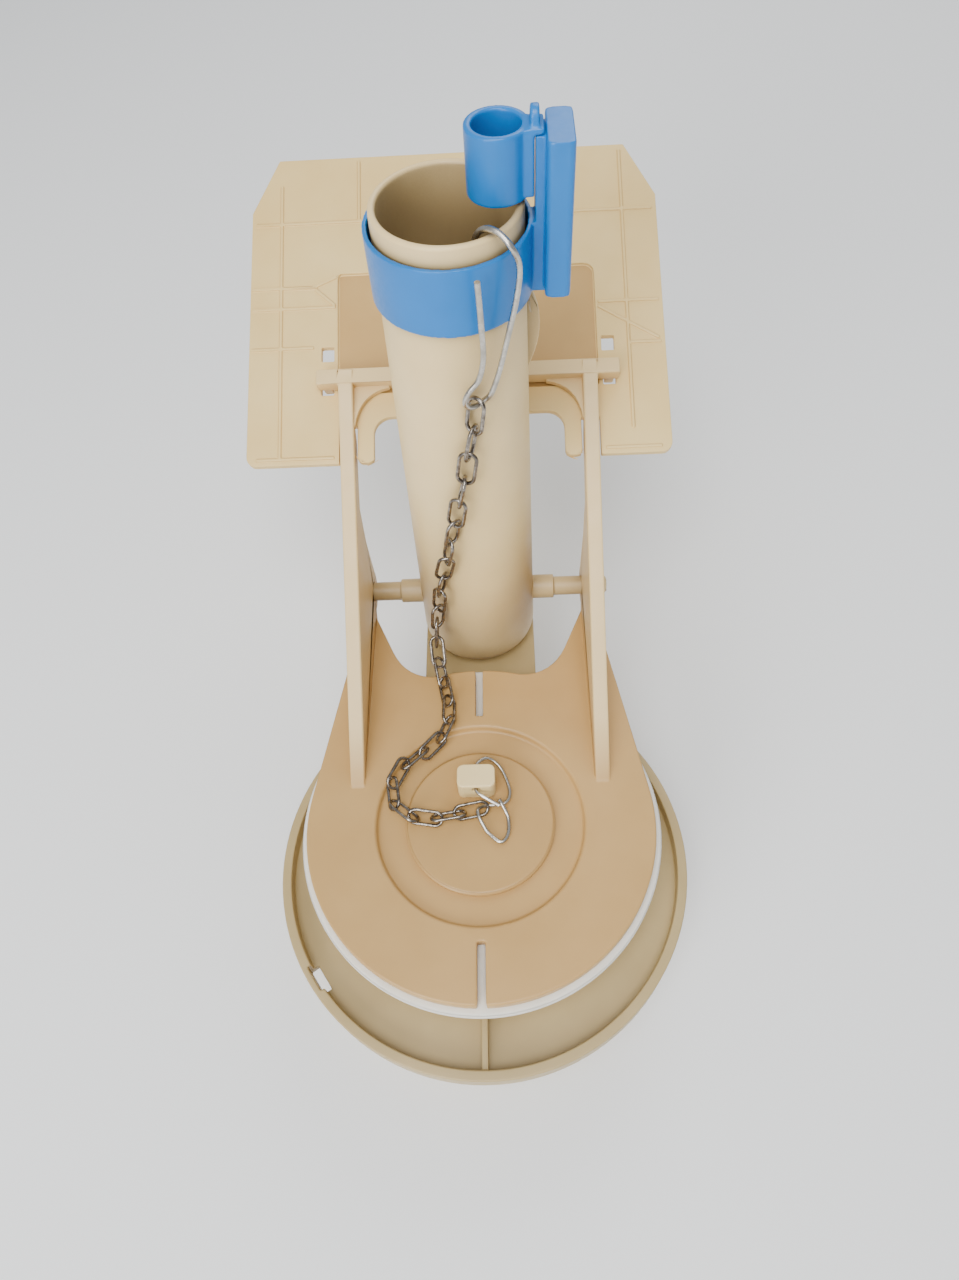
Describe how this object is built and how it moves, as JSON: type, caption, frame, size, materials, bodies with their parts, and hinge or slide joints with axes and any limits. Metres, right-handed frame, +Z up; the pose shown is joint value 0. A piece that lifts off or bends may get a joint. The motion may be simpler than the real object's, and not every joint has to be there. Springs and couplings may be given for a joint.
{
  "type": "toilet flush valve",
  "caption": "Toilet flush valve: flanged outlet seat, tapered overflow tube, flapper hinged on two long arms, vane plate behind the tube, refill tube clip and lift chain.",
  "frame": {"origin": "on the outlet's axis, at the underside of the flange that sits on the tank floor", "axes": "+Z up along the outlet and the overflow tube, +Y from the outlet towards the overflow tube and the vane, +X to the right seen from the front"},
  "size_m": [0.126, 0.2486, 0.2116],
  "materials": {
    "tan_plastic": "moulded, semi-matt",
    "cream_plastic": "moulded, semi-matt",
    "post_plastic": "moulded, semi-matt",
    "washer_plastic": "smooth, waxy",
    "gasket_rubber": "matt",
    "silicone": "milky, soft sheen",
    "blue_plastic": "moulded, glossy",
    "spring_wire": "drawn wire, satin",
    "chain_steel": "drawn wire, slightly dull"
  },
  "bodies": {
    "base": {"valve_base": "tan_plastic", "tube_seal": "gasket_rubber", "tank_gasket": "gasket_rubber", "overflow_tube": "cream_plastic", "chain_hanging": "chain_steel", "chain_bridge": "chain_steel", "chain_hook": "spring_wire"},
    "washer": {"friction_washer": "washer_plastic"},
    "nut": {"lock_nut": "cream_plastic"},
    "flapper": {"flapper_frame": "tan_plastic", "centre_hub": "tan_plastic", "flapper_seal": "silicone", "seal_retainer": "cream_plastic", "float_cup": "cream_plastic", "chain_post": "post_plastic", "chain_clip": "spring_wire", "chain_lying": "chain_steel"},
    "vane": {"vane_plate": "cream_plastic"},
    "collar": {"tube_collar": "blue_plastic"},
    "cup": {"refill_cup": "blue_plastic"}
  },
  "joints": [
    {"name": "flapper_hinge", "type": "hinge", "parent": "base", "child": "flapper", "pos_m": [0, 0.077, 0.032], "axis": [-1, 0, 0], "range_deg": [0, 50], "deforming": ["chain_bridge"]},
    {"name": "vane_unhook", "type": "slide", "parent": "flapper", "child": "vane", "axis": [0, 0.3987, -0.9171], "range_m": [0, 0.008]},
    {"name": "collar_turn", "type": "hinge", "parent": "base", "child": "collar", "pos_m": [0, 0.077, 0.15], "axis": [0, 0, 1], "range_deg": [0, 90]},
    {"name": "cup_unclip", "type": "slide", "parent": "collar", "child": "cup", "axis": [0, 0, 1], "range_m": [0, 0.012]},
    {"name": "washer_slide", "type": "slide", "parent": "base", "child": "washer", "axis": [0, 0, -1], "range_m": [0, 0.006]},
    {"name": "nut_turn", "type": "hinge", "parent": "washer", "child": "nut", "pos_m": [0, 0, -0.023], "axis": [0, 0, -1], "range_deg": [0, 720]}
  ],
  "couplings": [
    {"joint": "nut_turn", "follows": "washer_slide", "rad_per_m": 2094.4}
  ]
}
